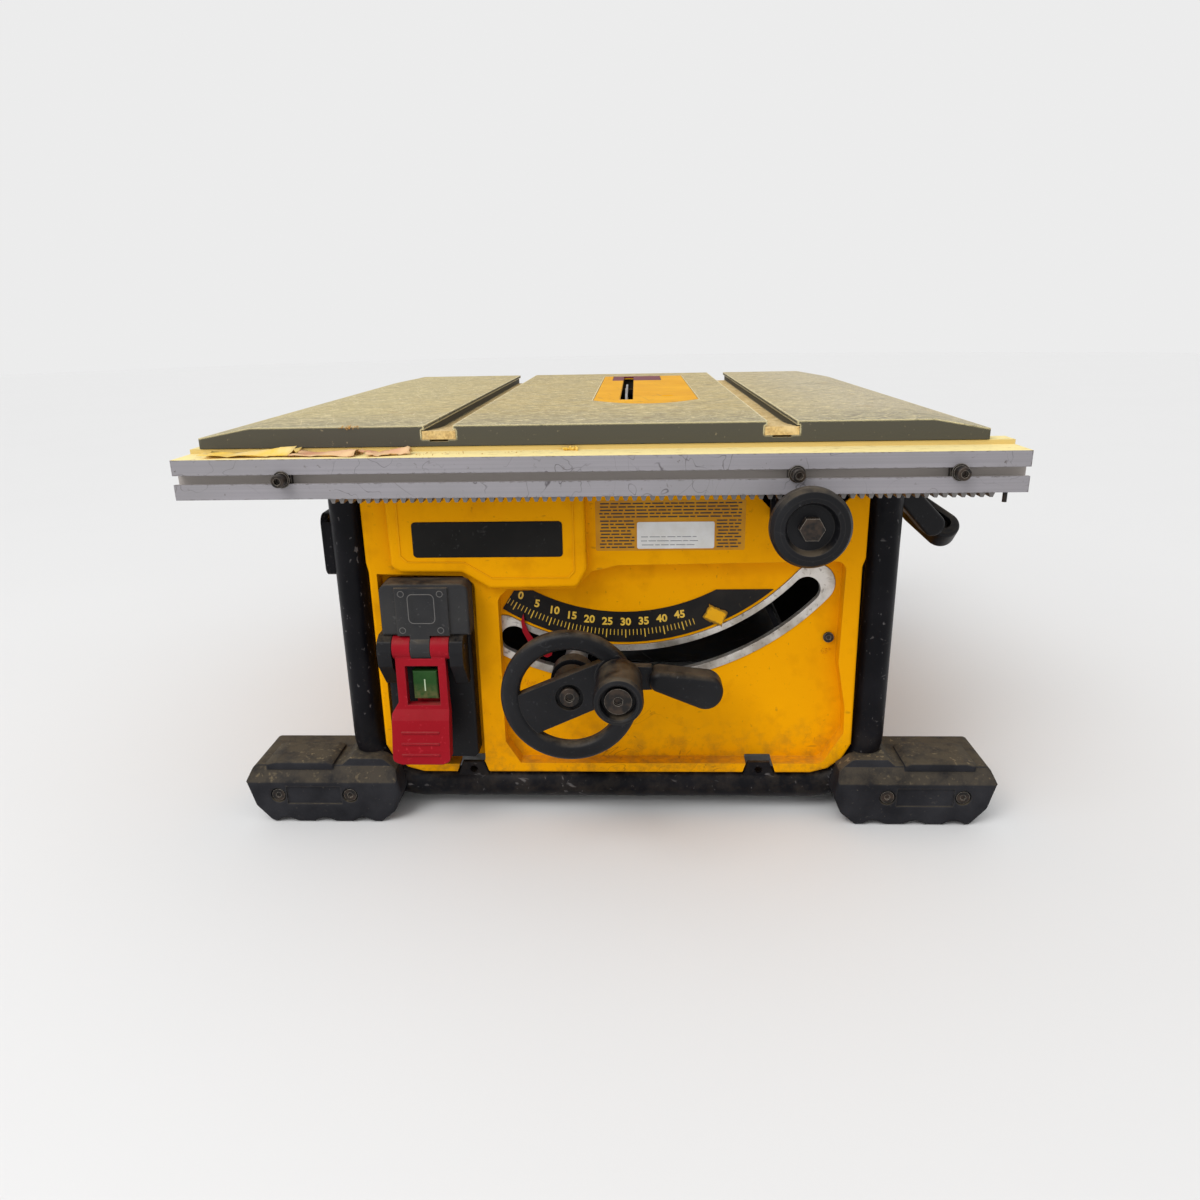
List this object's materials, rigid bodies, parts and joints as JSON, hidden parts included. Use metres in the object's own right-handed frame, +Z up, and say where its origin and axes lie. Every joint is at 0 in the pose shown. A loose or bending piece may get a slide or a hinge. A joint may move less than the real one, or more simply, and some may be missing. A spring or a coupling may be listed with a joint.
{
  "type": "table saw",
  "caption": "Compact jobsite table saw: cast table with mitre slots, sliding fence rails, yellow housing, tilting and rising blade, tubular frame on rubber feet.",
  "frame": {"origin": "on the floor under the middle of the saw's bounding box", "axes": "+X to the operator's right, +Y away from the operator towards the back, +Z up"},
  "size_m": [0.617, 0.6734, 0.33],
  "materials": {
    "table_grey": "cast, scratched and dusty",
    "frame_black": "black powder coat, dusty",
    "housing_yellow": "moulded, satin",
    "plate_yellow": "worn satin paint",
    "insert_red": "dull dark red",
    "rail_alu": "brushed extrusion",
    "rack_steel": "plain",
    "steel": "machined",
    "quadrant_zinc": "zinc plated, dusty",
    "screw_black": "black oxide",
    "black_plastic": "textured",
    "switch_grey": "textured",
    "rubber_black": "dusty",
    "paddle_red": "moulded",
    "button_green": "moulded",
    "scale_black": "printed plate",
    "casting": "die cast",
    "motor_black": "moulded",
    "copper_iron": "laminated core and windings",
    "brass": "turned",
    "blade_steel": "ground"
  },
  "bodies": {
    "base": {"table_top": "table_grey", "throat_plate": "plate_yellow", "throat_insert": "insert_red", "rail_guides": "frame_black", "rail_brackets": "frame_black", "hinge_pins": "steel", "front_frame_tube": "frame_black", "rear_frame_tube": "frame_black", "side_frame_tubes": "frame_black", "feet": "rubber_black", "housing_screws": "screw_black", "front_panel": "housing_yellow", "bevel_quadrant": "quadrant_zinc", "bevel_scale": "scale_black", "side_panels": "housing_yellow", "rear_panel": "housing_yellow", "dust_port": "black_plastic", "cord_gland": "rubber_black", "storage_bracket": "frame_black", "switch_housing": "black_plastic", "switch_cover": "switch_grey", "trunnions": "casting"},
    "fence_rails": {"front_rail": "rail_alu", "rear_rail": "rail_alu", "rail_racks": "rack_steel", "rail_screws": "screw_black"},
    "rail_drive": {"pinion_shaft": "steel", "rail_pinions": "steel", "rail_knob": "black_plastic", "rail_knob_nut": "screw_black"},
    "rail_lock": {"rail_lock_lever": "black_plastic"},
    "stop_paddle": {"stop_paddle": "paddle_red"},
    "start_button": {"start_button": "button_green"},
    "stop_button": {"stop_button": "paddle_red"},
    "bevel_carriage": {"carriage_plates": "frame_black", "carriage_beams": "steel", "guide_rods": "steel", "shaft_housing": "steel", "bevel_pointer": "paddle_red"},
    "bevel_lock": {"bevel_lock_lever": "black_plastic"},
    "handwheel": {"handwheel": "black_plastic", "handwheel_bolts": "screw_black", "wheel_shaft": "steel"},
    "crank_handle": {"crank_handle": "black_plastic"},
    "lift_screw": {"lift_screw": "steel"},
    "blade_carriage": {"lift_carriage": "casting", "lift_nut": "brass", "gear_cover": "casting", "arbor_bearings": "steel", "motor_housing": "motor_black", "motor_end_cap": "motor_black", "motor_stator": "copper_iron", "blade_shroud": "motor_black", "knife_knob": "black_plastic"},
    "blade": {"blade": "blade_steel", "arbor": "steel", "blade_clamp": "steel", "arbor_gear": "steel"},
    "armature": {"armature": "copper_iron"},
    "riving_knife": {"riving_knife": "steel"}
  },
  "joints": [
    {"name": "rail_slide", "type": "slide", "parent": "base", "child": "fence_rails", "axis": [1, 0, 0], "range_m": [0, 0.325]},
    {"name": "rail_knob_turn", "type": "hinge", "parent": "base", "child": "rail_drive", "pos_m": [0.1337, -0.3, 0.267], "axis": [0, 1, 0], "range_deg": [0, 1340]},
    {"name": "rail_lock_swing", "type": "hinge", "parent": "base", "child": "rail_lock", "pos_m": [0.228, -0.19, 0.268], "axis": [0, 1, 0], "range_deg": [0, 50]},
    {"name": "stop_paddle_swing", "type": "hinge", "parent": "base", "child": "stop_paddle", "pos_m": [-0.151, -0.2432, 0.1566], "axis": [-1, 0, 0], "range_deg": [-2.5, 95]},
    {"name": "start_button_press", "type": "slide", "parent": "base", "child": "start_button", "axis": [0, 1, 0], "range_m": [0, 0.003], "stiffness_N_per_m": 400},
    {"name": "stop_button_press", "type": "slide", "parent": "base", "child": "stop_button", "axis": [0, 1, 0], "range_m": [0, 0.003], "stiffness_N_per_m": 400},
    {"name": "bevel_tilt", "type": "hinge", "parent": "base", "child": "bevel_carriage", "pos_m": [0.0085, 0, 0.33], "axis": [0, -1, 0], "range_deg": [0, 45]},
    {"name": "bevel_lock_swing", "type": "hinge", "parent": "bevel_carriage", "child": "bevel_lock", "pos_m": [-0.0318, -0.29, 0.1334], "axis": [0, 1, 0], "range_deg": [0, 50]},
    {"name": "height_wheel_turn", "type": "hinge", "parent": "bevel_carriage", "child": "handwheel", "pos_m": [-0.0318, -0.29, 0.1334], "axis": [0, 1, 0], "range_deg": [0, 3601]},
    {"name": "crank_handle_spin", "type": "hinge", "parent": "handwheel", "child": "crank_handle", "pos_m": [0.0054, -0.31, 0.1498], "axis": [0, 1, 0], "continuous": true},
    {"name": "lift_screw_turn", "type": "hinge", "parent": "bevel_carriage", "child": "lift_screw", "pos_m": [-0.0318, -0.135, 0.2], "axis": [0, 0, 1], "range_deg": [0, 3601]},
    {"name": "blade_lift", "type": "slide", "parent": "bevel_carriage", "child": "blade_carriage", "axis": [0, 0, 1], "range_m": [0, 0.0635]},
    {"name": "blade_spin", "type": "hinge", "parent": "blade_carriage", "child": "blade", "pos_m": [0.0085, 0.087, 0.223], "axis": [1, 0, 0], "continuous": true},
    {"name": "armature_spin", "type": "hinge", "parent": "blade_carriage", "child": "armature", "pos_m": [-0.1, 0.087, 0.198], "axis": [1, 0, 0], "continuous": true},
    {"name": "riving_knife_slide", "type": "slide", "parent": "blade_carriage", "child": "riving_knife", "axis": [0, 0, 1], "range_m": [0, 0.03]}
  ],
  "couplings": [
    {"joint": "rail_knob_turn", "follows": "rail_slide", "rad_per_m": 71.429},
    {"joint": "lift_screw_turn", "follows": "blade_lift", "rad_per_m": 989.48},
    {"joint": "height_wheel_turn", "follows": "blade_lift", "rad_per_m": 989.48},
    {"joint": "armature_spin", "follows": "blade_spin", "ratio": -3}
  ]
}
